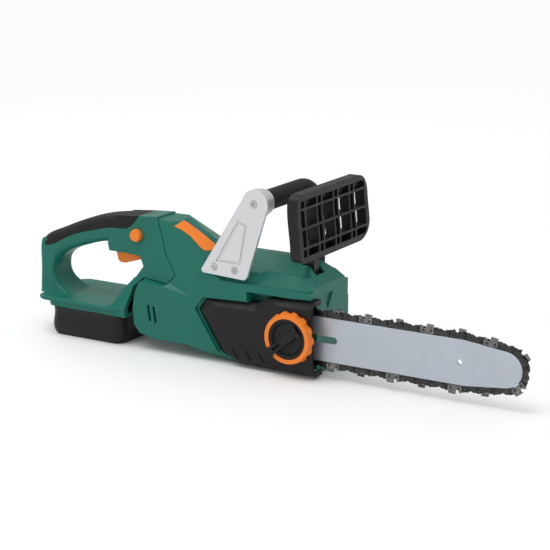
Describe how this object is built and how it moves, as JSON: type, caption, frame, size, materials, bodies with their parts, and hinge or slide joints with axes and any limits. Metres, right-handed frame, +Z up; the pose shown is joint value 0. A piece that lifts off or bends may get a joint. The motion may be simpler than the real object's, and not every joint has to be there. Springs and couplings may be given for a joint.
{
  "type": "chainsaw",
  "caption": "Cordless chainsaw with a short guide bar and chain, slide-on battery, rear grip with trigger, wrap-around front handle and folding hand guard.",
  "frame": {"origin": "on the flat underside of the housing, straight below the bar stud, on the joint plane of the two housing shells", "axes": "+X forward along the guide bar, +Y to the operator's left, +Z up"},
  "size_m": [0.6695, 0.1784, 0.214],
  "materials": {
    "green_shell": "fine moulded texture",
    "black_shell": "fine moulded texture",
    "soft_grip": "matt, softly textured",
    "orange_trim": "smooth satin",
    "silver_casting": "satin lacquered casting",
    "bar_steel": "ground and lacquered",
    "chain_steel": "dark, oiled",
    "cutter_steel": "hard-chromed cutting edges",
    "plain_steel": "zinc plated",
    "motor_steel": "dark",
    "copper_winding": "lacquered",
    "cell_wrap": "shrink-wrapped",
    "contact_brass": "bright",
    "board_green": "lacquered board",
    "tank_plastic": "translucent natural"
  },
  "bodies": {
    "saw": {"housing_right": "green_shell", "housing_left": "green_shell", "handle_right": "green_shell", "handle_left": "green_shell", "handle_grip": "soft_grip", "trim_panel": "orange_trim", "trigger_spring": "plain_steel", "trigger_switch": "black_shell", "side_bracket": "silver_casting", "bracket_screws": "plain_steel", "front_tube": "plain_steel", "front_grip": "soft_grip", "tube_foot": "black_shell", "guard_pin": "plain_steel", "brake_switch": "black_shell", "side_cover": "black_shell", "bar_stud": "plain_steel", "bar_pad": "plain_steel", "output_bearings": "plain_steel", "gear_plate": "silver_casting", "motor_can": "motor_steel", "motor_magnets": "motor_steel", "motor_bearings": "plain_steel", "oil_tank": "tank_plastic", "oil_cap_seal": "soft_grip", "oil_pump": "black_shell", "oil_pipe": "soft_grip", "control_board": "board_green", "chain_catcher": "plain_steel", "housing_screws": "plain_steel"},
    "battery": {"battery_case": "black_shell", "battery_cells": "cell_wrap", "battery_terminals": "contact_brass"},
    "battery_latch": {"battery_button": "black_shell"},
    "trigger": {"trigger": "orange_trim"},
    "lock_off": {"lock_off_button": "orange_trim"},
    "guard": {"hand_guard": "black_shell"},
    "ring": {"tension_ring": "orange_trim"},
    "knob": {"clamp_knob": "black_shell", "lever_pin": "plain_steel"},
    "lever": {"clamp_lever": "black_shell"},
    "bar": {"guide_bar": "bar_steel", "nose_rivet": "plain_steel", "chain_drive_links": "chain_steel", "chain_tie_straps": "chain_steel", "chain_cutters": "cutter_steel", "chain_rivets": "chain_steel"},
    "nose": {"nose_sprocket": "plain_steel"},
    "drive": {"drive_sprocket": "plain_steel", "sprocket_clip": "plain_steel", "output_shaft": "plain_steel", "drive_gear": "plain_steel"},
    "rotor": {"motor_pinion": "plain_steel", "motor_shaft": "plain_steel", "motor_rotor": "copper_winding", "cooling_fan": "black_shell"},
    "cap": {"oil_cap": "orange_trim"}
  },
  "joints": [
    {"name": "battery_slide", "type": "slide", "parent": "saw", "child": "battery", "axis": [-1, 0, 0], "range_m": [0, 0.12]},
    {"name": "battery_release", "type": "slide", "parent": "battery", "child": "battery_latch", "axis": [1, 0, 0], "range_m": [0, 0.003], "stiffness_N_per_m": 1500, "springref_m": -0.001},
    {"name": "trigger_pull", "type": "slide", "parent": "saw", "child": "trigger", "axis": [0, 0, 1], "range_m": [0, 0.007], "stiffness_N_per_m": 900, "springref_m": -0.002, "deforming": ["trigger_spring"]},
    {"name": "lock_off_press", "type": "slide", "parent": "saw", "child": "lock_off", "axis": [0, 1, 0], "range_m": [0, 0.004], "stiffness_N_per_m": 1200, "springref_m": -0.001},
    {"name": "guard_tilt", "type": "hinge", "parent": "saw", "child": "guard", "pos_m": [0.004, -0.005, 0.112], "axis": [0, 1, 0], "range_deg": [0, 16]},
    {"name": "tension_turn", "type": "hinge", "parent": "saw", "child": "ring", "pos_m": [0, -0.052, 0.047], "axis": [0, -1, 0], "range_deg": [0, 180]},
    {"name": "bar_slide", "type": "slide", "parent": "saw", "child": "bar", "axis": [1, 0, 0], "range_m": [-0.006, 0]},
    {"name": "knob_turn", "type": "hinge", "parent": "saw", "child": "knob", "pos_m": [0, -0.052, 0.047], "axis": [0, -1, 0], "continuous": true},
    {"name": "lever_flip", "type": "hinge", "parent": "knob", "child": "lever", "pos_m": [0.01241, -0.0566, 0.05741], "axis": [-0.6428, 0, 0.766], "range_deg": [0, 90]},
    {"name": "drive_spin", "type": "hinge", "parent": "saw", "child": "drive", "pos_m": [-0.0526, -0.02, 0.047], "axis": [0, 1, 0], "continuous": true},
    {"name": "rotor_spin", "type": "hinge", "parent": "saw", "child": "rotor", "pos_m": [-0.0886, 0.01, 0.06714], "axis": [0, 1, 0], "continuous": true},
    {"name": "nose_spin", "type": "hinge", "parent": "bar", "child": "nose", "pos_m": [0.2584, -0.031, 0.047], "axis": [0, 1, 0], "continuous": true},
    {"name": "cap_turn", "type": "hinge", "parent": "saw", "child": "cap", "pos_m": [-0.014, 0.055, 0.056], "axis": [0, 1, 0], "range_deg": [0, 90]}
  ],
  "couplings": [
    {"joint": "tension_turn", "follows": "bar_slide", "rad_per_m": -520},
    {"joint": "rotor_spin", "follows": "drive_spin", "ratio": -5.6},
    {"joint": "nose_spin", "follows": "drive_spin", "ratio": 0.75}
  ]
}
